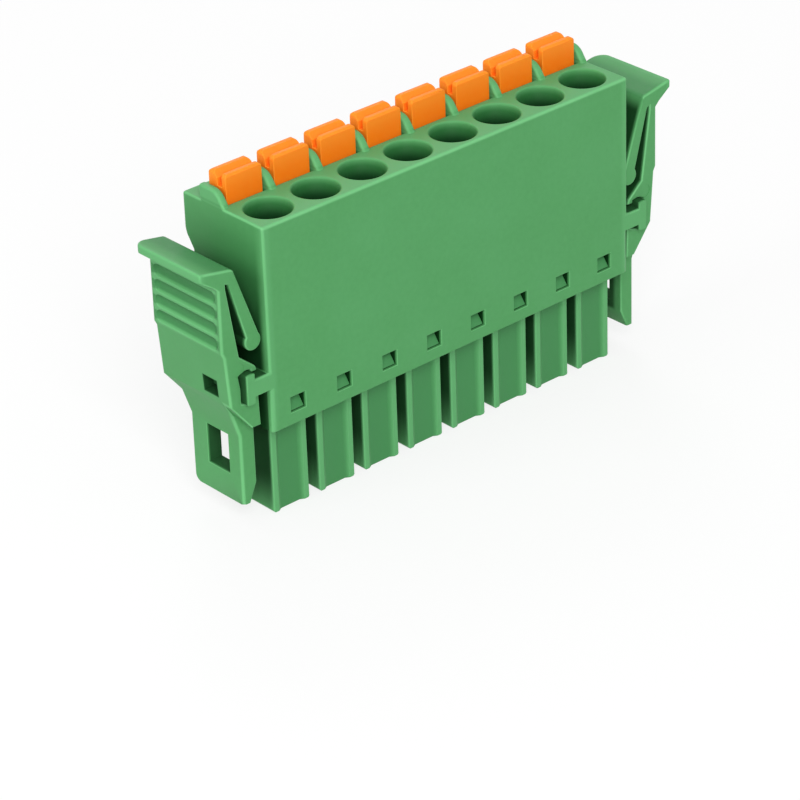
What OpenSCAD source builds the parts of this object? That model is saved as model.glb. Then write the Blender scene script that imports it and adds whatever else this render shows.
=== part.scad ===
// Pluggable terminal block: the wire-side plug of a two-part board connector, with push-in spring
// clamps, one release button for each wire and a lock-and-release lever at each end.
// The finger tips stand on z = 0, the row of poles runs along X and the front face looks along -Y.
// Inside the modules, y is the distance behind the front face, and z the height above the tips.

/* [Row of poles] */
// Number of wire positions in the row
poles = 8; // [2:1:12]
// Distance from one pole to the next
pitch = 3.81; // [3.7:0.01:5.08]

/* [Housing] */
// Depth from the front face to the back of the ledge
housing_depth = 7.7; // [7.3:0.1:9]
// Height of the front wall, from its lower edge up to the deck
wall_height = 14.15; // [13.8:0.05:17]
// Thickness of the front wall
front_wall = 1; // [0.8:0.02:1.04]
// Thickness of the back wall
back_wall = 0.87; // [0.6:0.01:1.1]
// Thickness of each end wall
end_wall = 0.56; // [0.5:0.01:1.5]
// Thickness of the partitions between the poles
partition = 0.6; // [0.5:0.01:0.7]
// Depth of the flat deck in front of the fins
deck_depth = 3.62; // [3.5:0.01:3.8]
// Height that the fins stand above the deck
fin_rise = 1.02; // [0.6:0.01:1.6]
// Radius where the fins' sloping front meets their top
fin_radius = 1; // [0.6:0.01:1.4]
// Angle of the fins' sloping front
fin_angle = 54; // [45:1:65]
// Height of the thick ledge behind the buttons
ledge_height = 2.5; // [1.5:0.1:4]
// Drop of the ledge below the deck
ledge_drop = 0.03; // [0:0.01:0.5]

/* [Wire entries] */
// Distance of the wire entries' axes behind the front face
entry_setback = 1.97; // [1.9:0.01:2]
// Radius of the wire bore
entry_radius = 1; // [0.7:0.05:1.15]
// Radius of the mouth below its rounded lip
mouth_radius = 1.52; // [1.3:0.01:1.6]
// Radius of the mouth's rounded lip
mouth_lip = 0.16; // [0.1:0.01:0.25]
// Depth of the flared mouth
mouth_depth = 1.7; // [0.8:0.1:2.5]
// Depth of the whole entry, from the deck to the clamping chamber
entry_depth = 4; // [3.5:0.1:4.4]

/* [Snap windows] */
// Width of the windows in the front wall
window_w = 1.22; // [0.8:0.02:2]
// Height of the windows
window_h = 1.1; // [0.7:0.05:1.5]
// Height of the windows' sills above the wall's lower edge
window_sill = 0.85; // [0.7:0.05:1.2]
// Distance of each snap nose's edge behind the front face
nose_setback = 0.17; // [0.05:0.01:0.4]

/* [Contact carrier] */
// Length of the fingers below the housing's front wall
finger_drop = 6.5; // [5:0.1:9]
// Gap between neighbouring fingers
finger_gap = 0.86; // [0.6:0.02:1.1]
// Depth of a finger from front to back
finger_depth = 4.13; // [3.9:0.01:4.5]
// Thickness of a finger's front, back and side walls
finger_wall = 0.52; // [0.45:0.01:0.6]
// Thickness of the floor at a finger's tip
tip_floor = 0.65; // [0.5:0.05:1.2]
// Size of the square pin opening in the tip
pin_opening = 1.3; // [1:0.05:1.5]
// Depth of the coding channel down a finger's front
channel_depth = 0.18; // [0.1:0.01:0.3]
// Width of the slope at each side of the channel
channel_slope = 0.3; // [0.1:0.01:0.5]
// Width of the strip at each side of the channel
channel_rim = 0.4; // [0.3:0.01:0.6]
// Height of the carrier's base, which the housing closes over
base_h = 2.7; // [2.3:0.1:3]
// Height of the base's underside above the wall's lower edge
base_recess = 0.55; // [0.2:0.05:0.65]

/* [Release buttons] */
// Height of a button's top above the deck
button_rise = 1.83; // [1.4:0.01:2.5]
// Travel of a button from rest to fully pressed
button_travel = 1; // [0.6:0.05:1.1]
// Distance of the button head's front behind the housing's front face
head_setback = 4.18; // [4.16:0.01:4.3]
// Width of the button head
head_width = 2.86; // [2.4:0.01:3]
// Width of the screwdriver slot in the head
blade_slot = 0.42; // [0.3:0.02:0.5]
// Depth of the screwdriver slot
blade_slot_depth = 0.9; // [0.5:0.05:1.2]
// Thickness of the plate in front of the slot
head_plate = 0.4; // [0.3:0.02:0.5]
// Slope that leads the blade in on the slot's rear side
blade_lead = 0.38; // [0.2:0.01:0.45]
// Bevel along the head's upper front and rear edges
head_bevel = 0.12; // [0.05:0.01:0.2]
// Radius of the head's upper corners, seen from the front
head_corner = 0.28; // [0.1:0.01:0.5]

/* [Contacts and clamp springs] */
// Thickness of the contact's sheet metal
contact_t = 0.4; // [0.3:0.02:0.5]
// Width of the contact's cage
contact_w = 2.6; // [2.2:0.05:2.9]
// Width of the two fork arms that grip the pin
fork_w = 1.5; // [1:0.05:1.7]
// Gap between the fork arms where they grip the pin
fork_gap = 0.6; // [0.4:0.02:0.8]
// Thickness of the clamp spring's strip
spring_t = 0.3; // [0.2:0.01:0.34]
// Width of the clamp spring
spring_w = 2.4; // [2:0.05:2.8]
// Inner radius of the clamp spring's loop
loop_radius = 0.6; // [0.5:0.01:0.65]
// Angle around the loop at which the clamping leg leaves it
leg_angle = 130; // [126:1:134]

/* [Levers] */
// Distance of the pivot from the housing's end face
pivot_out = 1.47; // [1.4:0.01:1.6]
// Depth of the pivot below the deck
pivot_drop = 10.475; // [10:0.05:11]
// Radius of the rail head's rounded ends, which the lever turns on
pivot_radius = 1.05; // [0.9:0.01:1.15]
// Thickness of the rail's head
rail_head = 0.65; // [0.5:0.01:0.7]
// Height of the rail's stem
rail_stem = 1.21; // [1:0.01:1.3]
// Length of the rail from front to back
rail_depth = 6.4; // [5:0.1:6.8]
// Distance of the lever's front behind the housing's front face
lever_setback = 0.5; // [0:0.05:0.8]
// Width of the lever from front to back
lever_w = 6.6; // [6:0.1:7.2]
// Distance of the grip's outer face from the pivot
grip_reach = 1.78; // [1.6:0.01:2.2]
// Distance of the thumb flange's tip from the pivot
flange_reach = 3.08; // [2.6:0.02:4]
// Height of the thumb flange's tip above the pivot
flange_rise = 8.76; // [8.6:0.01:10]
// Thickness of the thumb flange at its tip
flange_tip = 0.54; // [0.3:0.01:0.7]
// Number of finger grooves across the grip
grooves = 4; // [1:1:4]
// Distance from one finger groove to the next
groove_pitch = 1.06; // [0.8:0.01:1.06]
// Width of the ridge between two grooves
groove_land = 0.2; // [0.1:0.01:0.3]
// Depth of the finger grooves
groove_depth = 0.26; // [0.1:0.01:0.3]
// Distance of the latch plate's front behind the housing's front face
latch_setback = 1.15; // [0.9:0.05:1.6]
// Width of the latch plate
latch_w = 4.7; // [3.6:0.1:5.2]
// Thickness of the latch plate
latch_t = 1.15; // [0.8:0.05:1.2]
// Height of the latch plate's lower end above the finger tips
latch_clear = 1.55; // [0.5:0.05:2.5]
// Width of the window that catches the mating half
catch_w = 2.09; // [1.4:0.01:2.6]
// Height of the catch window
catch_h = 2.8; // [1.5:0.1:3]
// Height of the catch window above the latch plate's lower end
catch_sill = 1.85; // [1.4:0.05:2]
// Radius of the bead at the spring leg's end
bead_radius = 0.64; // [0.5:0.01:0.66]
// Angle that a lever rocks through, which its rail slot is relieved for
rock_angle = 10; // [6:0.5:10]

/* [Clearances] */
// Play between the carrier and the housing's walls
carrier_gap = 0.12; // [0.05:0.01:0.2]
// Play around a button where it slides in its shaft
slide_gap = 0.06; // [0.03:0.01:0.12]
// Play around the visible head of a button
head_gap = 0.1; // [0.05:0.01:0.2]
// Play between parts that lie against each other inside
seat_gap = 0.05; // [0.02:0.01:0.08]
// Radial play of the lever on its rail
pivot_gap = 0.07; // [0.03:0.01:0.1]
// Sideways play of the lever on its rail
rail_gap = 0.1; // [0.06:0.01:0.15]

/* [Hidden] */
$fn = 64;
over = 1;

body_green = [0.30, 0.62, 0.36];
button_orange = [0.98, 0.47, 0.10];
spring_steel = [0.72, 0.73, 0.74];
tinned_copper = [0.80, 0.79, 0.75];

// Heights of the main levels
deck_z = finger_drop + wall_height;
skirt_z = finger_drop;
chamber_top_z = deck_z - entry_depth;
base_z = skirt_z + base_recess;
base_top_z = base_z + base_h;
cavity_top_z = base_top_z + seat_gap;
window_z = skirt_z + window_sill;

// Across the row
chamber_w = pitch - partition;
housing_length = poles * pitch - partition + 2 * end_wall;
end_x = housing_length / 2;
finger_w = pitch - finger_gap;

// Front to back
mouth_land = 0.5;
shaft_front = entry_setback + mouth_radius + mouth_land;
shaft_depth = 1.99;
shaft_back = shaft_front + shaft_depth;
back_face = shaft_back + back_wall;
ledge_slope = 1.26;
carrier_front = front_wall + carrier_gap;
carrier_back = shaft_back - carrier_gap;
pin_y = carrier_front + finger_depth / 2;

// Buttons
slider_height = 2.3;
head_back = shaft_back - 0.18;
shoulder_z = deck_z - 0.9;
button_floor_z = shoulder_z - slider_height;
foot_w = 2.2;
foot_front = shaft_front - 0.25;
foot_back = shaft_front + 0.65;

// Contact and clamp spring
bar_front = front_wall + 0.1;
bar_back = bar_front + contact_t;
contact_z = base_top_z + seat_gap / 2;
contact_floor_z = contact_z + contact_t;
bar_top_z = chamber_top_z - 1;
loop_outer = loop_radius + spring_t;
loop_y = shaft_back - 0.13 - loop_outer;
loop_z = button_floor_z - button_travel - 0.25 - loop_outer;
leg_slope = leg_angle - 90;
leg_start_y = loop_y + (loop_radius + spring_t / 2) * cos(leg_angle);
leg_start_z = loop_z + (loop_radius + spring_t / 2) * sin(leg_angle);
leg_reach_y = leg_start_y - bar_back - seat_gap - spring_t / 2 * sin(leg_slope);
leg_length = leg_reach_y / cos(leg_slope);

// Pivot, rail and lever
pivot_x = end_x + pivot_out;
pivot_z = deck_z - pivot_drop;
slot_half = rail_head / 2 + rail_gap;
tongue_edge = rail_stem / 2 + 0.245;
hook_reach = 0.92;
leg_root_inner = [0.47, flange_rise - 0.605];
leg_root_outer = [0.92, flange_rise - 1.425];
bead_at = [-0.73, 2.92];
outer_low = [1.33, -0.985];
latch_shoulder = 3.745;
latch_corner = 0.5;
mark_at = [0.62, 1.41];
mark_radius = 0.5;
mark_depth = 0.03;
groove_half = (groove_pitch - groove_land) / 2;
groove_radius = (pow(groove_half, 2) + pow(groove_depth, 2)) / (2 * groove_depth);
groove_margin = 0.3;
groove_top_z = flange_rise - 1.63;
catch_y = latch_setback + 1.2;
detent_y = 2.25;
detent_h = 0.6;
detent_hole_w = 1.3;
detent_hole_h = 1.1;

// Puts what is drawn behind the front face's plane, centred front to back on the origin.
module from_front() {
    translate([0, -housing_depth / 2, 0]) children();
}

// Extrudes an outline drawn in y and z along the row, centred on x = 0.
module along_row(length) {
    translate([-length / 2, 0, 0]) rotate([90, 0, 90]) linear_extrude(length) children();
}

// Extrudes an outline drawn in x and z from one depth to another.
module along_depth(from, to) {
    translate([0, to, 0]) rotate([90, 0, 0]) linear_extrude(to - from) children();
}

function pole_x(i) = (i - (poles + 1) / 2) * pitch;

module each_pole() {
    for (i = [1:poles]) translate([pole_x(i), 0, 0]) children();
}

module both_ends() {
    children();
    mirror([1, 0, 0]) children();
}

// A square corner with a quarter round left out, used to round the corner at the origin.
module corner_cutter(radius) {
    difference() {
        translate([-radius, -radius]) square(radius + over);
        translate([-radius, -radius]) circle(radius);
    }
}

// A fin seen from the row's end: a straight sloping front, rounded over into the level top.
module fin_outline() {
    slope_h = fin_rise - fin_radius * (1 - cos(fin_angle));
    centre_y = deck_depth + slope_h / tan(fin_angle) + fin_radius * sin(fin_angle);
    centre_z = deck_z + fin_rise - fin_radius;
    intersection() {
        union() {
            translate([centre_y, centre_z]) circle(fin_radius);
            translate([centre_y, centre_z]) square([shaft_back - centre_y, fin_radius]);
            polygon([
                [deck_depth, deck_z - over],
                [centre_y, deck_z - over],
                [centre_y, centre_z],
                [centre_y - fin_radius * sin(fin_angle), centre_z + fin_radius * cos(fin_angle)],
                [deck_depth, deck_z]
            ]);
        }
        translate([deck_depth, deck_z - over]) square([shaft_back - deck_depth, fin_rise + over]);
    }
}

module housing_outline() {
    ledge_z = deck_z - ledge_drop;
    polygon([
        [0, skirt_z],
        [0, deck_z],
        [shaft_back, deck_z],
        [shaft_back, ledge_z],
        [housing_depth, ledge_z],
        [housing_depth, ledge_z - ledge_height],
        [back_face, ledge_z - ledge_height - ledge_slope],
        [back_face, skirt_z]
    ]);
    fin_outline();
}

// The funnel and the bore of one wire entry, as the solid that is cut away.
module wire_entry_cut() {
    lip_x = mouth_radius + mouth_lip;
    translate([0, entry_setback, deck_z]) {
        translate([0, 0, -entry_depth - over]) cylinder(r = entry_radius, h = entry_depth + 2 * over);
        translate([0, 0, -mouth_depth])
            cylinder(r1 = entry_radius, r2 = mouth_radius, h = mouth_depth - mouth_lip);
        rotate_extrude() difference() {
            translate([0, -mouth_lip]) square([lip_x, mouth_lip + over]);
            translate([lip_x, -mouth_lip]) circle(mouth_lip);
        }
    }
}

module pole_cut() {
    wire_entry_cut();
    translate([-chamber_w / 2, shaft_front, chamber_top_z - over])
        cube([chamber_w, shaft_depth, entry_depth + fin_rise + 2 * over]);
    translate([-chamber_w / 2, deck_depth - over, deck_z])
        cube([chamber_w, shaft_back - deck_depth + over, fin_rise + over]);
    translate([-chamber_w / 2, front_wall, cavity_top_z - over])
        cube([chamber_w, shaft_back - front_wall, chamber_top_z - cavity_top_z + over]);
    translate([-window_w / 2, -over, window_z]) cube([window_w, front_wall + 2 * over, window_h]);
}

// The T-shaped rail at the row's right-hand end. Its head's ends are round about the pivot.
module rail_outline() {
    stem_from = end_x - end_wall / 2;
    translate([stem_from, pivot_z - rail_stem / 2]) square([pivot_x - stem_from, rail_stem]);
    intersection() {
        translate([pivot_x, pivot_z]) circle(pivot_radius);
        translate([pivot_x - rail_head / 2, pivot_z - pivot_radius])
            square([rail_head, 2 * pivot_radius]);
    }
}

// The ramped nose on the rail that holds the lever from sliding off.
module detent_nose() {
    face_x = pivot_x + rail_head / 2;
    translate([0, 0, pivot_z - detent_h / 2]) linear_extrude(detent_h) polygon([
        [pivot_x, detent_y - 0.5],
        [face_x, detent_y - 0.5],
        [face_x + 0.45, detent_y - 0.2],
        [face_x + 0.45, detent_y + 0.5],
        [pivot_x, detent_y + 0.5]
    ]);
}

module housing() {
    color(body_green) from_front() {
        difference() {
            along_row(housing_length) housing_outline();
            each_pole() pole_cut();
            translate([-end_x + end_wall, front_wall, skirt_z - over])
                cube([housing_length - 2 * end_wall, shaft_back - front_wall, cavity_top_z - skirt_z + over]);
        }
        both_ends() {
            along_depth(0, rail_depth) rail_outline();
            detent_nose();
        }
    }
}

// A finger seen from the front, with its tip's side edges bevelled.
module finger_outline() {
    bevel = [0.12, 0.15];
    polygon([
        [-finger_w / 2, base_z + 0.1],
        [-finger_w / 2, bevel[1]],
        [-finger_w / 2 + bevel[0], 0],
        [finger_w / 2 - bevel[0], 0],
        [finger_w / 2, bevel[1]],
        [finger_w / 2, base_z + 0.1]
    ]);
}

// The shallow channel down a finger's front, where the mating half's coding ribs run.
module channel_cut() {
    half = finger_w / 2 - channel_rim;
    translate([0, carrier_front, -over]) linear_extrude(base_z + over) polygon([
        [-half, -over],
        [half, -over],
        [half, 0],
        [half - channel_slope, channel_depth],
        [-half + channel_slope, channel_depth],
        [-half, 0]
    ]);
}

// The square pin opening in a finger's tip, widened to a bevelled lead-in at the bottom.
module pin_opening_cut() {
    half = pin_opening / 2;
    lead = 0.25;
    translate([-half, pin_y - half, -over]) cube([pin_opening, pin_opening, tip_floor + 2 * over]);
    intersection() {
        along_depth(pin_y - half - lead, pin_y + half + lead) polygon([
            [-half - lead - over, -over],
            [half + lead + over, -over],
            [half, lead],
            [-half, lead]
        ]);
        along_row(2 * (half + lead)) polygon([
            [pin_y - half - lead - over, -over],
            [pin_y + half + lead + over, -over],
            [pin_y + half, lead],
            [pin_y - half, lead]
        ]);
    }
}

// The nose that snaps into a window of the housing: a flat catch below and a ramp above.
module snap_nose() {
    nose_w = window_w - 2 * seat_gap;
    along_row(nose_w) polygon([
        [carrier_front + 0.3, window_z + seat_gap],
        [nose_setback, window_z + seat_gap],
        [front_wall - 0.1, window_z + window_h - seat_gap],
        [carrier_front + 0.3, window_z + window_h - seat_gap]
    ]);
}

module contact_carrier() {
    base_w = poles * pitch - finger_gap;
    bay_w = finger_w - 2 * finger_wall;
    bay_depth = finger_depth - 2 * finger_wall;
    color(body_green) from_front() difference() {
        union() {
            translate([-base_w / 2, carrier_front, base_z])
                cube([base_w, carrier_back - carrier_front, base_h]);
            each_pole() along_depth(carrier_front, carrier_front + finger_depth) finger_outline();
            each_pole() snap_nose();
        }
        each_pole() {
            channel_cut();
            pin_opening_cut();
            translate([-bay_w / 2, pin_y - bay_depth / 2, tip_floor])
                cube([bay_w, bay_depth, base_top_z - tip_floor + over]);
        }
    }
}

// One arm of the contact's fork, drawn behind the pin's centre line.
module fork_arm_outline() {
    arm_t = contact_t * 0.75;
    top = 0.85;
    grip = fork_gap / 2;
    grip_z = tip_floor + 1.4;
    mouth_z = tip_floor + 0.25;
    bend_z = skirt_z - 0.35;
    polygon([
        [top, contact_z + contact_t / 2],
        [top - arm_t, contact_z + contact_t / 2],
        [top - arm_t, bend_z],
        [grip, grip_z],
        [grip + 0.25, mouth_z],
        [grip + 0.25 + arm_t, mouth_z],
        [grip + arm_t, grip_z],
        [top, bend_z]
    ]);
}

// The current bar, floor and rear tab of the contact, bent from one strip.
module cage_outline() {
    floor_back = loop_y + loop_outer;
    tab_back = floor_back - spring_t - seat_gap;
    tab_h = 1.1;
    translate([bar_front, contact_z]) square([contact_t, bar_top_z - contact_z]);
    translate([bar_front, contact_z]) square([floor_back - bar_front, contact_t]);
    translate([tab_back - contact_t, contact_z]) square([contact_t, contact_t + tab_h]);
}

module contact(i) {
    color(tinned_copper) from_front() translate([pole_x(i), 0, 0]) {
        along_row(contact_w) cage_outline();
        along_row(fork_w) translate([pin_y, 0]) {
            fork_arm_outline();
            mirror([1, 0]) fork_arm_outline();
        }
    }
}

// A leaf spring seen from the side: a straight leg, a loop and the leg that clamps the wire.
module spring_outline() {
    wedge = 2 * loop_outer;
    loop_end = leg_angle + 2;
    stand_z = contact_floor_z + seat_gap / 2;
    translate([loop_y, loop_z]) {
        intersection() {
            difference() {
                circle(loop_outer);
                circle(loop_radius);
            }
            polygon([
                [0, 0],
                [wedge, 0],
                [wedge, wedge],
                [wedge * cos(loop_end) / sin(loop_end), wedge]
            ]);
        }
        rotate(leg_angle) translate([loop_radius, 0]) square([spring_t, leg_length]);
        translate([loop_radius, stand_z - loop_z]) square([spring_t, loop_z - stand_z]);
    }
}

module clamp_spring(i) {
    color(spring_steel) from_front() translate([pole_x(i), 0, 0]) along_row(spring_w) spring_outline();
}

// Height of the clamping leg's upper face at a depth y.
function leg_top_z(y) = leg_start_z - (leg_start_y - y) * tan(leg_slope) + spring_t / 2 / cos(leg_slope);

// The button's head from the side: a front plate, the screwdriver slot and a plate that leads it in.
module button_head_outline() {
    top_z = deck_z + button_rise;
    slot_front = head_setback + head_plate;
    slot_back = slot_front + blade_slot;
    polygon([
        [head_setback, shoulder_z - 0.1],
        [head_back, shoulder_z - 0.1],
        [head_back, top_z - head_bevel],
        [head_back - head_bevel, top_z],
        [slot_back + blade_lead, top_z],
        [slot_back, top_z - blade_lead],
        [slot_back, top_z - blade_slot_depth],
        [slot_front, top_z - blade_slot_depth],
        [slot_front, top_z],
        [head_setback + head_bevel, top_z],
        [head_setback, top_z - head_bevel]
    ]);
}

// The foot presses the clamping leg, and its toe catches under the wire entry.
module button_foot_outline() {
    heel = shaft_front + head_gap;
    toe_z = chamber_top_z - seat_gap;
    polygon([
        [heel, button_floor_z + 0.1],
        [heel, toe_z],
        [foot_front, toe_z],
        [foot_front, leg_top_z(foot_front) + 0.08],
        [foot_back, leg_top_z(foot_back) + 0.08],
        [foot_back, button_floor_z + 0.1]
    ]);
}

module release_button(i) {
    slider_w = chamber_w - 2 * slide_gap;
    color(button_orange) from_front() translate([pole_x(i), 0, 0]) {
        difference() {
            along_row(head_width) button_head_outline();
            both_ends() along_depth(head_setback - over, head_back + over)
                translate([head_width / 2, deck_z + button_rise]) corner_cutter(head_corner);
        }
        along_row(slider_w) translate([shaft_front + head_gap, button_floor_z])
            square([shaft_depth - 2 * head_gap, slider_height]);
        along_row(foot_w) button_foot_outline();
    }
}

// The lever's wide upper part, drawn outward from the pivot and up from it.
module lever_outline() {
    polygon([
        [0.65, flange_rise - 0.445],
        [flange_reach, flange_rise],
        [flange_reach, flange_rise - flange_tip],
        [grip_reach + 0.25, flange_rise - 1.285],
        [grip_reach, flange_rise - 1.535],
        [grip_reach, 2.875],
        [grip_reach - 0.18, 2.515],
        outer_low,
        [-0.25, -2.965],
        [-1.01, -2.985],
        [-0.94, -tongue_edge],
        [-0.94, tongue_edge],
        [-0.8, 1.205],
        [0.4, 2.225],
        [1.13, flange_rise - 1.685],
        [1.13, flange_rise - 1.335],
        leg_root_outer,
        leg_root_inner
    ]);
}

// The latch plate and the slope that carries it, drawn from the pivot.
module latch_outline() {
    low_z = latch_clear - pivot_z;
    outer = latch_t - hook_reach;
    polygon([
        outer_low,
        [1, -1.5],
        [outer, -latch_shoulder],
        [outer, low_z],
        [outer - 0.6, low_z],
        [-hook_reach, low_z + 1.3],
        [-hook_reach, -2.5],
        [0.6, -1.2]
    ]);
}

// The slot that slides over the rail: round ends about the pivot, room for the stem, and relief at
// the two corners that the rail's head leans into when the lever rocks.
module rail_slot_outline() {
    slot_radius = pivot_radius + pivot_gap;
    relief = slot_radius * tan(rock_angle + 1);
    intersection() {
        circle(slot_radius);
        polygon([
            [-slot_half - relief, -slot_radius],
            [slot_half, -slot_radius],
            [slot_half, 0],
            [slot_half + relief, slot_radius],
            [-slot_half, slot_radius],
            [-slot_half, 0]
        ]);
    }
    translate([-hook_reach - over, -tongue_edge]) square([hook_reach + over, 2 * tongue_edge]);
}

module finger_grooves() {
    front = lever_setback + groove_margin + groove_half;
    back = lever_setback + lever_w - groove_margin - groove_half;
    axis_x = grip_reach + groove_radius - groove_depth;
    for (k = [0:grooves - 1]) translate([axis_x, front, groove_top_z - (k + 0.5) * groove_pitch]) {
        rotate([-90, 0, 0]) cylinder(r = groove_radius, h = back - front);
        sphere(r = groove_radius);
        translate([0, back - front, 0]) sphere(r = groove_radius);
    }
}

// Rounds the plan corners of the thumb flange, most at the back.
module flange_corners() {
    back = lever_setback + lever_w;
    translate([flange_reach, back, flange_rise - 2 * over]) linear_extrude(3 * over) corner_cutter(1);
}

module lever() {
    back = lever_setback + lever_w;
    latch_back = latch_setback + latch_w;
    from_front() translate([pivot_x, 0, pivot_z]) difference() {
        union() {
            along_depth(lever_setback, back) lever_outline();
            along_depth(latch_setback, latch_back) latch_outline();
        }
        along_depth(-over, housing_depth + over) rail_slot_outline();
        finger_grooves();
        flange_corners();
        translate([0, detent_y - detent_hole_w / 2, -detent_hole_h / 2])
            cube([grip_reach + over, detent_hole_w, detent_hole_h]);
        translate([-hook_reach - over, catch_y, latch_clear + catch_sill - pivot_z])
            cube([latch_t + 2 * over, catch_w, catch_h]);
        along_depth(lever_setback - over, lever_setback + mark_depth) translate(mark_at) circle(mark_radius);
        translate([-hook_reach - over, latch_back, latch_clear - pivot_z]) rotate([0, 90, 0])
            linear_extrude(latch_t + 2 * over) corner_cutter(latch_corner);
    }
}

// The flexing leg that leans on the housing's end and swings the lever back.
module spring_leg() {
    from_front() translate([pivot_x, 0, pivot_z]) along_depth(lever_setback, lever_setback + lever_w) {
        polygon([
            bead_at + bead_radius * [-0.95, 0.09],
            bead_at + bead_radius * [0.62, -0.07],
            leg_root_outer,
            leg_root_inner
        ]);
        translate(bead_at) circle(bead_radius);
    }
}

module lever_right() {
    color(body_green) lever();
}

module lever_left() {
    color(body_green) mirror([1, 0, 0]) lever();
}

module lever_right_spring_leg() {
    color(body_green) spring_leg();
}

module lever_left_spring_leg() {
    color(body_green) mirror([1, 0, 0]) spring_leg();
}

housing();
contact_carrier();
lever_left();
lever_right();
lever_left_spring_leg();
lever_right_spring_leg();
for (i = [1:poles]) release_button(i);
for (i = [1:poles]) clamp_spring(i);
for (i = [1:poles]) contact(i);
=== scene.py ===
import math

import bmesh
import bpy
from mathutils import Matrix, Vector


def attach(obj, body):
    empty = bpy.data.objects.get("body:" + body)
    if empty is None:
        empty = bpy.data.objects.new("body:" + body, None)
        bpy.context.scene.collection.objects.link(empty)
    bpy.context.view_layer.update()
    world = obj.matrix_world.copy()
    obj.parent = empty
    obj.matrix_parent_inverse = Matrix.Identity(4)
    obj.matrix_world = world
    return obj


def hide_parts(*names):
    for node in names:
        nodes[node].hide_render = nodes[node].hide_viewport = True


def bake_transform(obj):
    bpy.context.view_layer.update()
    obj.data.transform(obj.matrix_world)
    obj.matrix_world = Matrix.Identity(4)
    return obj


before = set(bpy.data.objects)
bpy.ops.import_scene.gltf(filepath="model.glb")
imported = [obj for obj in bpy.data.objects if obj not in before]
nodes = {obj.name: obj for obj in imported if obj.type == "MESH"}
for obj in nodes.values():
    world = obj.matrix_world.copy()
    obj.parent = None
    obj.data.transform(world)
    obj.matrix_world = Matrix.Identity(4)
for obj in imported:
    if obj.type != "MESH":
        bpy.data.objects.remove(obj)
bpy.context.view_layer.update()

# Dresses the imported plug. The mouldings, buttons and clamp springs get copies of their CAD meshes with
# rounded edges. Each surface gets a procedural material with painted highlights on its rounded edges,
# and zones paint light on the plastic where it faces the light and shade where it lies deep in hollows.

MM = 0.001

# Places on the plug in mm. Side is the distance from its middle, depth is taken from its front wall,
# and height from the finger tips.
DEPTH = 7.7
HALF_DEPTH = DEPTH / 2
POLES = 8
PITCH = 3.81
END_SIDE = 15.5
DECK_Z = 20.65
SKIRT_Z = 6.5
FINGER_FRONT = 1.12
LEVER_SIDE = 18.75
LEVER_FRONT = 0.5
LEVER_BACK = 7.1
LATCH_FRONT = 1.15
LATCH_BACK = 5.85
FLANGE_SIDE = 20.05
FLANGE_Z = 18.4
PIVOT_SIDE = 16.97
PIVOT_Z = 10.175
GROOVES = 4
GROOVE_PITCH = 1.06
GRIP_LOW_Z = 13.065
GRIP_TOP_Z = GRIP_LOW_Z + GROOVES * GROOVE_PITCH

# Edges that turn by more than SHARP are rounded, and faces within FLAT of each other become one.
# The shading stays sharp at a turn of more than SHARP, or of more than CREASE beside a rounding.
SHARP = math.radians(24)
FLAT = math.radians(0.5)
CREASE = math.radians(50)
SAME_POINT = 2e-6
ROUND_SEGMENTS = 3


# Rounded copies of the CAD meshes

def clean(node):
    """A bmesh of a CAD node with its vertices joined and its flat faces merged."""
    bm = bmesh.new()
    bm.from_mesh(nodes[node].data)
    bmesh.ops.remove_doubles(bm, verts=bm.verts, dist=SAME_POINT)
    bmesh.ops.dissolve_limit(bm, angle_limit=FLAT, use_dissolve_boundaries=False,
                             verts=bm.verts, edges=bm.edges)
    return bm


def evaluated(scratch):
    """The mesh of an object with its modifiers applied."""
    bpy.context.view_layer.update()
    graph = bpy.context.evaluated_depsgraph_get()
    return bpy.data.meshes.new_from_object(scratch.evaluated_get(graph))


def mark_creases(mesh):
    """Keeps the shading sharp at corners without a rounding, and where a rounding ends at a face."""
    bm = bmesh.new()
    bm.from_mesh(mesh)
    for edge in bm.edges:
        if len(edge.link_faces) == 2:
            turn = abs(edge.calc_face_angle_signed(0))
            rolled = any(face.material_index for face in edge.link_faces)
            edge.smooth = turn < (CREASE if rolled else SHARP)
    bm.to_mesh(mesh)
    bm.free()


def weighted(node, name, width_at, most):
    """The clean mesh of a node, with each convex edge's share of the widest rounding."""
    bm = clean(node)
    weight = bm.edges.layers.float.new("bevel_weight_edge")
    for edge in bm.edges:
        if len(edge.link_faces) == 2 and edge.calc_face_angle_signed(0) > SHARP:
            middle = (edge.verts[0].co + edge.verts[1].co) / 2 / MM
            edge[weight] = min(width_at(middle) / most, 1)
    for face in bm.faces:
        face.material_index = 0
        face.smooth = True
    mesh = bpy.data.meshes.new(name)
    bm.to_mesh(mesh)
    bm.free()
    return mesh


def mark_rim(mesh):
    """Writes 1 to the points inside the roundings, 0 to all others, and clears the material slots."""
    rim = mesh.attributes.new("rim", "FLOAT", "POINT")
    on_rim = [1.0] * len(mesh.vertices)
    for face in mesh.polygons:
        if face.material_index == 0:
            for corner in face.vertices:
                on_rim[corner] = 0.0
    rim.data.foreach_set("value", on_rim)
    for face in mesh.polygons:
        face.material_index = 0
    mesh.materials.clear()


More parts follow.
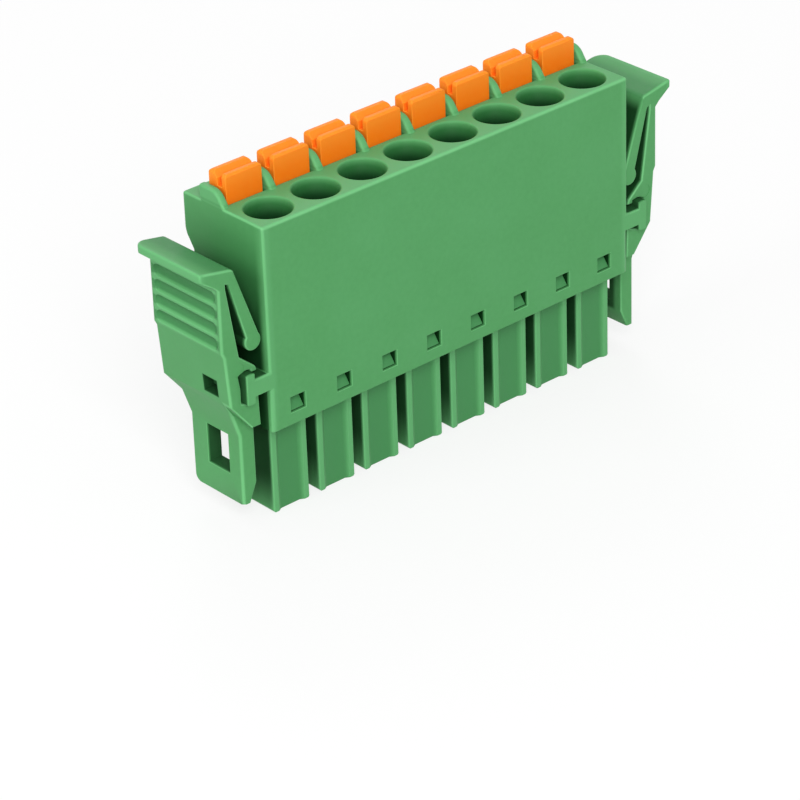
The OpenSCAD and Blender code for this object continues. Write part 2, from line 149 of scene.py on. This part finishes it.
def rounded(node, name, width_at, most):
    """A copy of a CAD node whose convex edges are rounded by width_at(middle of the edge in mm)."""
    mesh = weighted(node, name, width_at, most)
    scratch = bpy.data.objects.new(name + "_scratch", mesh)
    bpy.context.scene.collection.objects.link(scratch)
    # The second slot marks the faces that the rounding makes.
    for slot in range(2):
        mesh.materials.append(bpy.data.materials.new("filler"))
    bevel = scratch.modifiers.new("round", "BEVEL")
    bevel.width = most * MM
    bevel.segments = ROUND_SEGMENTS
    bevel.limit_method = "WEIGHT"
    bevel.use_clamp_overlap = False
    bevel.material = 1
    scratch.data = evaluated(scratch)
    scratch.modifiers.clear()
    mark_creases(scratch.data)
    normals = scratch.modifiers.new("normals", "WEIGHTED_NORMAL")
    normals.mode = "FACE_AREA"
    normals.weight = 60
    normals.keep_sharp = True
    final = evaluated(scratch)
    final.name = name
    bpy.data.objects.remove(scratch)
    mark_rim(final)
    piece = bpy.data.objects.new(name, final)
    bpy.context.scene.collection.objects.link(piece)
    return piece


def dress(node, name, material, width_at, most, body=None):
    """Replaces a CAD node by its rounded copy, which rides on a body if one is given."""
    piece = rounded(node, name, width_at, most)
    piece.data.materials.append(material)
    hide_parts(node)
    if body:
        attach(piece, body)
    return piece


# Shader helpers

def tree_of(name):
    material = bpy.data.materials.new(name)
    material.use_nodes = True
    tree = material.node_tree
    return material, tree, tree.nodes["Principled BSDF"]


def add(tree, kind, **values):
    """A new node: a value whose name has a capital sets a socket, any other sets a property."""
    node = tree.nodes.new(kind)
    for key, value in values.items():
        if key[0].isupper():
            node.inputs[key.replace("_", " ")].default_value = value
        else:
            setattr(node, key, value)
    return node


def fill(tree, socket, value):
    """Links a socket to another one, or gives it a plain value."""
    if isinstance(value, bpy.types.NodeSocket):
        tree.links.new(value, socket)
    else:
        socket.default_value = value


def maths(tree, operation, *values):
    node = add(tree, "ShaderNodeMath", operation=operation)
    for socket, value in zip(node.inputs, values):
        fill(tree, socket, value)
    return node.outputs[0]


def scaled(tree, place, scale):
    node = add(tree, "ShaderNodeMapping", Scale=scale)
    tree.links.new(place, node.inputs["Vector"])
    return node.outputs["Vector"]


def noise_at(tree, place, scale, detail, rough):
    node = add(tree, "ShaderNodeTexNoise", Scale=scale, Detail=detail, Roughness=rough)
    tree.links.new(place, node.inputs["Vector"])
    return node.outputs["Fac"]


def remap(tree, noise, low, high):
    """Spreads the middle of a noise's range over low to high."""
    node = add(tree, "ShaderNodeMapRange", From_Min=0.3, From_Max=0.7, To_Min=low, To_Max=high)
    tree.links.new(noise, node.inputs["Value"])
    return node.outputs["Result"]


def ramp(tree, value, start, end):
    """0 at start, 1 at end and beyond, with a soft beginning and end."""
    node = add(tree, "ShaderNodeMapRange", interpolation_type="SMOOTHSTEP", From_Min=start, From_Max=end)
    tree.links.new(value, node.inputs["Value"])
    return node.outputs["Result"]


def mix_colour(tree, factor, one, two):
    node = add(tree, "ShaderNodeMix", data_type="RGBA")
    fill(tree, node.inputs[0], factor)
    for socket, colour in ((node.inputs[6], one), (node.inputs[7], two)):
        fill(tree, socket, (*colour, 1) if isinstance(colour, tuple) else colour)
    return node.outputs[2]


def bump(tree, height, strength, distance, below=None):
    node = add(tree, "ShaderNodeBump", Strength=strength, Distance=distance)
    tree.links.new(height, node.inputs["Height"])
    if below:
        tree.links.new(below, node.inputs["Normal"])
    return node.outputs["Normal"]


# Zones of painted light and shade: a tint, its strength and its ramps, which are multiplied. A ramp is an
# axis, the place where the tint is absent and the place where it is full.

def axes_of(tree, place):
    """The axes in mm. pole is 0 midway between two poles, and groove is 0 at a ridge of the grip."""
    split = add(tree, "ShaderNodeSeparateXYZ")
    tree.links.new(place, split.inputs[0])
    side, depth, height = split.outputs
    over_grip = maths(tree, "SUBTRACT", height, GRIP_LOW_Z)
    return {"side": maths(tree, "ABSOLUTE", side),
            "pole": maths(tree, "PINGPONG", side, PITCH / 2),
            "depth": maths(tree, "ADD", depth, HALF_DEPTH),
            "height": height,
            "groove": maths(tree, "PINGPONG", over_grip, GROOVE_PITCH / 2)}


def share_of(tree, axes, strength, ramps):
    share = strength
    for axis, start, end in ramps:
        share = maths(tree, "MULTIPLY", share, ramp(tree, axes[axis], start, end))
    return share


def zone(tint, strength, *ramps):
    return tint, strength, ramps


# Tints of painted shade and painted light. The darkest stands for deep shade, so it dulls the surface too.
DEEP_SHADE_GREEN = (0.001, 0.032, 0.005)
SHADE_ROUGHNESS = 0.4
DIM_SHADE_GREEN = (0.028, 0.165, 0.042)
GROOVE_SHADE_GREEN = (0.045, 0.20, 0.066)
SHADE_GREEN = (0.058, 0.240, 0.082)
PAINTED_LIGHT_GREEN = (0.125, 0.41, 0.160)
EDGE_HIGHLIGHT_GREEN = (0.23, 0.62, 0.28)
HEAD_HIGHLIGHT_ORANGE = (1.0, 0.275, 0.022)

inside = (("depth", 0.1, 0.3), ("depth", 6.2, 5.9), ("side", END_SIDE - 0.15, END_SIDE - 0.35))
on_end = (("side", END_SIDE - 0.1, END_SIDE - 0.02), ("side", END_SIDE + 0.2, END_SIDE + 0.05),
          ("height", SKIRT_Z - 0.2, SKIRT_Z + 0.1))
behind_leg = (*on_end, ("depth", 0.3, 0.9))
housing_zones = (
    # painted highlight beside the upright edges of the front wall
    zone(PAINTED_LIGHT_GREEN, 0.5, ("side", END_SIDE - 0.7, END_SIDE - 0.25), ("depth", 0.4, 0.2),
         ("height", DECK_Z, DECK_Z - 0.2)),
    # painted light on the deck, and a painted highlight on its front edge
    zone(PAINTED_LIGHT_GREEN, 0.55, ("height", DECK_Z - 0.05, DECK_Z - 0.02),
         ("height", DECK_Z + 0.15, DECK_Z + 0.05)),
    zone(EDGE_HIGHLIGHT_GREEN, 0.2, ("height", DECK_Z - 0.25, DECK_Z - 0.12), ("depth", 0.22, 0.12)),
    # painted shade on the end walls, darker towards the levers' pivots
    zone(DIM_SHADE_GREEN, 0.8, ("height", DECK_Z + 1.35, DECK_Z - 4.65), *behind_leg),
    zone(DEEP_SHADE_GREEN, 0.95, ("height", DECK_Z - 3.15, DECK_Z - 8.65), *behind_leg),
    zone(DEEP_SHADE_GREEN, 0.85, ("height", PIVOT_Z + 0.825, PIVOT_Z - 1.175), *on_end, ("depth", 0.25, 0.42)),
    # painted shade on the rails, but for their front ends
    zone(DEEP_SHADE_GREEN, 0.85, ("side", END_SIDE + 0.1, END_SIDE + 0.2), ("depth", 0.03, 0.2)),
    # painted shade in the mouths of the bores, and in the bores and shafts below
    zone(DIM_SHADE_GREEN, 1.0, ("height", DECK_Z, DECK_Z - 0.5), *inside),
    zone(DEEP_SHADE_GREEN, 1.0, ("height", DECK_Z - 0.1, DECK_Z - 1.3), *inside),
    # painted light on the fins
    zone(PAINTED_LIGHT_GREEN, 0.85, ("height", DECK_Z + 0.1, DECK_Z + 0.3)))

fronts = ("depth", FINGER_FRONT + 0.48, FINGER_FRONT + 0.28)
carrier_zones = (
    # painted shade in the coding channels, and painted light on the strips beside them
    zone(SHADE_GREEN, 0.85, ("pole", 0.7, 1.25), fronts),
    zone(PAINTED_LIGHT_GREEN, 0.8, ("pole", 1.1, 0.7), fronts, ("pole", 0.40, 0.42)),
    # painted shade in the gaps between the fingers
    zone(DEEP_SHADE_GREEN, 0.95, ("pole", 0.52, 0.44), ("depth", FINGER_FRONT + 0.03, FINGER_FRONT + 0.28),
         ("height", -1.5, 3.0)))

grip = (("side", LEVER_SIDE - 0.45, LEVER_SIDE - 0.3),
        ("height", GRIP_LOW_Z - 0.115, GRIP_LOW_Z + 0.035),
        ("height", GRIP_TOP_Z + 0.145, GRIP_TOP_Z - 0.005),
        ("depth", LEVER_FRONT + 0.05, LEVER_FRONT + 0.4), ("depth", LEVER_BACK, LEVER_BACK - 0.3))
lever_zones = (
    # painted shade in the grooves and painted highlights on the ridges of the grip
    zone(GROOVE_SHADE_GREEN, 0.8, ("groove", 0.15, 0.30), *grip),
    zone(PAINTED_LIGHT_GREEN, 0.8, ("groove", 0.25, 0.12), *grip),
    # painted shade on the top of the flange, and painted light on its outer edge
    zone(SHADE_GREEN, 0.9, ("side", FLANGE_SIDE - 0.45, FLANGE_SIDE - 1.55),
         ("height", FLANGE_Z - 0.2, FLANGE_Z - 0.1), ("depth", LEVER_FRONT, LEVER_FRONT + 0.25)),
    zone(PAINTED_LIGHT_GREEN, 0.8, ("side", FLANGE_SIDE - 0.55, FLANGE_SIDE - 0.1),
         ("height", FLANGE_Z - 0.3, FLANGE_Z - 0.1)),
    # painted shade on the inner face, behind the spring leg
    zone(DEEP_SHADE_GREEN, 0.95, ("side", LEVER_SIDE - 0.5, LEVER_SIDE - 0.7),
         ("depth", LEVER_FRONT + 0.05, LEVER_FRONT + 0.3), ("depth", LEVER_BACK - 0.05, LEVER_BACK - 0.3),
         ("height", PIVOT_Z + 0.725, PIVOT_Z + 1.125), ("height", FLANGE_Z, FLANGE_Z - 0.8)),
    # painted shade on the walls of the latch window
    zone(DEEP_SHADE_GREEN, 0.8, ("side", PIVOT_SIDE + 0.21, PIVOT_SIDE + 0.03),
         ("depth", LATCH_FRONT + 0.45, LATCH_FRONT + 0.85), ("height", 2.6, 3.0), ("height", 7.2, 6.6)),
    # painted shade on the walls of the detent hole
    zone(DEEP_SHADE_GREEN, 0.9, ("side", LEVER_SIDE - 0.03, LEVER_SIDE - 0.2), ("depth", 1.5, 1.59),
         ("depth", 3.0, 2.91), ("height", PIVOT_Z - 0.645, PIVOT_Z - 0.565),
         ("height", PIVOT_Z + 0.645, PIVOT_Z + 0.565)))

leg_zones = (
    # painted shade on both faces of the leg, but for its front and back edges
    zone(DEEP_SHADE_GREEN, 0.95, ("depth", LEVER_FRONT + 0.05, LEVER_FRONT + 0.35),
         ("depth", LEVER_BACK - 0.05, LEVER_BACK - 0.35), ("height", FLANGE_Z, FLANGE_Z - 1.0)),)

button_zones = (
    # painted light on the heads above the deck, paler towards their tops
    zone(HEAD_HIGHLIGHT_ORANGE, 0.9, ("height", DECK_Z + 0.3, DECK_Z + 1.8)),)


# Materials

def plastic(name, base, deep, lit, glow, zones):
    """Satin moulded plastic: cloudy pigment, a fine eroded grain, painted highlights on the rounded edges,
    zones of painted light and shade.
    """
    material, tree, shader = tree_of(name)
    place = scaled(tree, add(tree, "ShaderNodeTexCoord").outputs["Object"], (1 / MM, 1 / MM, 1 / MM))
    cloud = noise_at(tree, place, scale=0.22, detail=4.0, rough=0.55)
    mottle = noise_at(tree, place, scale=2.6, detail=5.0, rough=0.6)
    grain = noise_at(tree, place, scale=9.0, detail=4.0, rough=0.55)
    colour = mix_colour(tree, remap(tree, cloud, 0.0, 1.0), deep, base)
    colour = mix_colour(tree, remap(tree, mottle, 0.0, 0.10), colour, lit)
    rim = add(tree, "ShaderNodeAttribute", attribute_name="rim").outputs["Fac"]
    # painted highlight on the roundings, broken up by the cloud noise
    edge_highlight = maths(tree, "MULTIPLY", rim, remap(tree, cloud, 0.65, 0.95))
    colour = mix_colour(tree, edge_highlight, colour, lit)
    roughness = remap(tree, mottle, 0.37, 0.49)
    axes = axes_of(tree, place)
    for tint, strength, ramps in zones:
        share = share_of(tree, axes, strength, ramps)
        colour = mix_colour(tree, share, colour, tint)
        if tint == DEEP_SHADE_GREEN:
            roughness = maths(tree, "ADD", roughness, maths(tree, "MULTIPLY", share, SHADE_ROUGHNESS))
    tree.links.new(colour, shader.inputs["Base Color"])
    tree.links.new(roughness, shader.inputs["Roughness"])
    swell = bump(tree, mottle, 0.12, 0.04 * MM)
    tree.links.new(bump(tree, grain, 0.22, 0.012 * MM, swell), shader.inputs["Normal"])
    shader.inputs["IOR"].default_value = 1.5
    shader.inputs["Specular IOR Level"].default_value = 0.12
    shader.inputs["Subsurface Weight"].default_value = glow
    shader.inputs["Subsurface Radius"].default_value = (0.5, 1.0, 0.5)
    shader.inputs["Subsurface Scale"].default_value = 0.4 * MM
    return material


def green_plastic(name, zones):
    return plastic(name, base=(0.090, 0.328, 0.116), deep=(0.082, 0.310, 0.104), lit=(0.165, 0.50, 0.205),
                   glow=0.12, zones=zones)


def metal(name, colour, dull, roughness, grain_scale):
    """Rolled strip: fine lines along the rolling direction and faint stains."""
    material, tree, shader = tree_of(name)
    place = add(tree, "ShaderNodeTexCoord").outputs["Object"]
    lines = noise_at(tree, scaled(tree, place, grain_scale), scale=1.0, detail=3.0, rough=0.6)
    stain = noise_at(tree, place, scale=900.0, detail=3.0, rough=0.5)
    tree.links.new(mix_colour(tree, remap(tree, stain, 0.0, 1.0), dull, colour), shader.inputs["Base Color"])
    tree.links.new(remap(tree, lines, roughness - 0.06, roughness + 0.1), shader.inputs["Roughness"])
    tree.links.new(bump(tree, lines, 0.15, 0.01 * MM), shader.inputs["Normal"])
    shader.inputs["Metallic"].default_value = 1.0
    return material


housing_green = green_plastic("housing_plastic", housing_zones)
carrier_green = green_plastic("carrier_plastic", carrier_zones)
lever_green = green_plastic("lever_plastic", lever_zones)
leg_green = green_plastic("leg_plastic", leg_zones)
orange = plastic("button_plastic", base=(1.0, 0.205, 0.006), deep=(1.0, 0.190, 0.005), lit=(1.0, 0.38, 0.06),
                 glow=0.2, zones=button_zones)
steel = metal("spring_steel", (0.62, 0.62, 0.62), (0.52, 0.52, 0.53), 0.30, (300, 9000, 600))
tinned = metal("tinned_contact", (0.74, 0.73, 0.70), (0.62, 0.61, 0.58), 0.34, (9000, 500, 500))


# Widths of the roundings, in mm. Edges that run on into each other get one width, or none.

HOUSING_MOST = 0.7
CARRIER_MOST = 0.11
LEVER_MOST = 0.22
LEG_MOST = 0.18
FINE = 0.03


def housing_round(p):
    side, depth, height = abs(p.x), p.y + HALF_DEPTH, p.z
    if 1.02 < depth < 5.96 and height < DECK_Z - 0.5 and side < END_SIDE - 0.54:
        return 0.0      # cavities
    if side > END_SIDE + 0.02:
        return 0.0 if abs(height - PIVOT_Z) > 0.97 else 0.04    # rails
    if height > DECK_Z + 0.03:
        return 0.18     # fins
    if depth > DEPTH - 0.1:
        return HOUSING_MOST if height < DECK_Z - 2.45 else 0.3  # back wall, and the ledge above it
    if depth < 0.1 and side > END_SIDE - 0.1:
        return 0.35     # upright edges of the front wall
    if height > DECK_Z - 0.06:
        return 0.16 if depth < 0.1 or side > END_SIDE - 0.1 else 0.09   # deck's outline, and its holes
    if depth < 0.02 and SKIRT_Z + 0.8 < height < SKIRT_Z + 2.0 and side < END_SIDE - 1.0:
        return 0.04     # snap windows
    return 0.12


def carrier_round(p):
    if p.z > SKIRT_Z + 0.7 or p.y + HALF_DEPTH > 5.3:
        return 0.04     # noses, and what is inside the housing
    if p.z < 0.3:
        return 0.05     # finger tips
    from_pole = abs((p.x / PITCH) % 1 - 0.5) * PITCH
    return 0.02 if from_pole < 1.2 else CARRIER_MOST


def lever_round(p):
    side, depth, height = abs(p.x), p.y + HALF_DEPTH, p.z
    leg_root = 17.4 < side < 17.93 and 17.47 < height < 18.37
    round_mark = math.hypot(side - 17.59, height - 11.585) < 0.55 and depth < LEVER_FRONT + 0.15
    grip_low_edge = GRIP_LOW_Z - 0.115 < height < GRIP_LOW_Z + 0.035 and side > LEVER_SIDE - 0.05
    if leg_root or round_mark or grip_low_edge:
        return 0.0
    on_grip = GRIP_LOW_Z + 0.035 < height < GRIP_TOP_Z + 0.095 and side > LEVER_SIDE - 0.05
    if on_grip and LEVER_FRONT + 0.05 < depth < LEVER_BACK - 0.05:
        return 0.07     # grooves
    if side < PIVOT_SIDE - 0.17 and 6.9 < height < 7.4:
        return FINE     # inner lower edges of the wide part
    if side > FLANGE_SIDE - 0.15 and FLANGE_Z - 0.1 < height < FLANGE_Z + 0.05:
        return 0.0      # lower edge of the flange
    if math.hypot(side - 18.3, height - 9.19) < 0.1 and LEVER_FRONT + 0.35 < depth < LEVER_BACK - 0.25:
        return 0.0      # outer lower edge of the wide part
    if height > FLANGE_Z + 0.05:
        return 0.18     # flange
    if LATCH_FRONT + 0.2 < depth < LATCH_BACK - 0.65 and 2.9 < height < 11.2 and side > 17.1:
        return FINE     # latch window and detent hole
    below = height < PIVOT_Z - 1.075
    if below and (LATCH_BACK - 0.6 < depth < LATCH_BACK + 1.0 or height < 1.9):
        return 0.0      # back edges and end of the latch plate
    if depth < LEVER_FRONT + 0.05 and side > 18.25 and 9.25 < height < GRIP_TOP_Z + 0.145:
        return LEVER_MOST       # front edge beside the grip
    if below and LATCH_FRONT - 0.5 < depth < LATCH_FRONT + 0.1 and side > PIVOT_SIDE + 0.18:
        return LEVER_MOST       # front edge of the latch plate
    return 0.12


def fine_round(p):
    return FINE


# The pieces

dress("housing", "dressed_housing", housing_green, housing_round, HOUSING_MOST,
      "plug_body")
dress("contact_carrier", "dressed_carrier", carrier_green, carrier_round, CARRIER_MOST,
      "plug_body")
for side, sign in (("left", -1), ("right", 1)):
    lever = "lever_" + side
    dress(lever, "dressed_" + lever, lever_green, lever_round, LEVER_MOST, lever)
    leg = dress(lever + "_spring_leg", "dressed_" + lever + "_leg", leg_green, lever_round,
                LEG_MOST)
    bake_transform(leg)
for i in range(1, POLES + 1):
    button = f"release_button_{i}"
    dress(button, "dressed_" + button, orange, fine_round, FINE, button)
    spring = dress(f"clamp_spring_{i}", f"dressed_clamp_spring_{i}", steel, fine_round, FINE)
    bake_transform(spring)
    contact = nodes[f"contact_{i}"]
    contact.data.materials.clear()
    contact.data.materials.append(tinned)


# Floor and surroundings, in metres: white to the camera, and a plain level of light to the object

FLOOR_REACH = 3.0
FLOOR_DROP = 0.02 * MM
FLOOR_GLOW = 0.75
SOFT_LIGHT = 0.47


def show_white(tree, shown, other, output, share):
    """Mixes a share of what the camera, mirrors and glass see with what lights the object."""
    path = add(tree, "ShaderNodeLightPath")
    seen = path.outputs["Is Camera Ray"]
    for ray in ("Is Glossy Ray", "Is Transmission Ray"):
        seen = maths(tree, "MAXIMUM", seen, path.outputs[ray])
    mix = add(tree, "ShaderNodeMixShader")
    tree.links.new(maths(tree, "MULTIPLY", seen, share), mix.inputs[0])
    tree.links.new(other, mix.inputs[1])
    tree.links.new(shown, mix.inputs[2])
    tree.links.new(mix.outputs[0], output)


floor_mesh = bpy.data.meshes.new("floor")
corners = [(x * FLOOR_REACH, y * FLOOR_REACH, 0) for x, y in ((-1, -1), (1, -1), (1, 1), (-1, 1))]
floor_mesh.from_pydata(corners, [], [(0, 1, 2, 3)])
floor = bpy.data.objects.new("floor", floor_mesh)
floor.location.z = -FLOOR_DROP
bpy.context.scene.collection.objects.link(floor)
paper, tree, shader = tree_of("paper")
to_camera = add(tree, "ShaderNodeLightPath").outputs["Is Camera Ray"]
tree.links.new(maths(tree, "MULTIPLY_ADD", to_camera, 0.35, 0.60), shader.inputs["Base Color"])
shader.inputs["Roughness"].default_value = 0.9
shader.inputs["Specular IOR Level"].default_value = 0.1
white = add(tree, "ShaderNodeEmission", Color=(1, 1, 1, 1), Strength=1.0)
surface = tree.nodes["Material Output"].inputs["Surface"]
show_white(tree, white.outputs[0], shader.outputs[0], surface, FLOOR_GLOW)
floor_mesh.materials.append(paper)

world = bpy.data.worlds.new("studio")
bpy.context.scene.world = world
world.use_nodes = True
tree = world.node_tree
soft = tree.nodes["Background"]
soft.inputs["Color"].default_value = (1, 1, 1, 1)
soft.inputs["Strength"].default_value = SOFT_LIGHT
bright = add(tree, "ShaderNodeBackground", Color=(1, 1, 1, 1), Strength=1.0)
show_white(tree, bright.outputs[0], soft.outputs[0], tree.nodes["World Output"].inputs["Surface"], 1.0)


# Lamps and camera

def lamp(name, place, aim, size, watts):
    data = bpy.data.lights.new(name, "AREA")
    data.shape = "DISK"
    data.size = size
    data.energy = watts
    lamp_object = bpy.data.objects.new(name, data)
    lamp_object.location = place
    lamp_object.rotation_mode = "QUATERNION"
    lamp_object.rotation_quaternion = (Vector(aim) - Vector(place)).to_track_quat("-Z", "Y")
    bpy.context.scene.collection.objects.link(lamp_object)


centre = (0, 0, 0.012)
lamp("key", (-0.40, -0.56, 0.48), centre, 0.52, 5.5)
lamp("side", (-0.34, 0.04, 0.16), centre, 0.20, 0.32)
lamp("back", (0.16, 0.26, 0.26), centre, 0.20, 0.22)

# The camera was solved from the straight edges of the plug in the photo.
camera_right = Vector((0.743437, -0.668112, -0.030469))
camera_up = Vector((0.344471, 0.343463, 0.873712))
camera_back = Vector((-0.573272, -0.660046, 0.485488))
camera_place = Vector((-136.483, -155.239, 116.110)) * MM
camera_data = bpy.data.cameras.new("camera")
camera_data.lens = 161.85
camera_data.sensor_width = 36
camera_data.clip_start = 0.01
camera_data.clip_end = 20
camera = bpy.data.objects.new("camera", camera_data)
bpy.context.scene.collection.objects.link(camera)
pose = Matrix((camera_right, camera_up, camera_back)).transposed().to_4x4()
pose.translation = camera_place
camera.matrix_world = pose
bpy.context.scene.camera = camera
bpy.context.scene.view_settings.view_transform = "Standard"

bpy.context.view_layer.update()
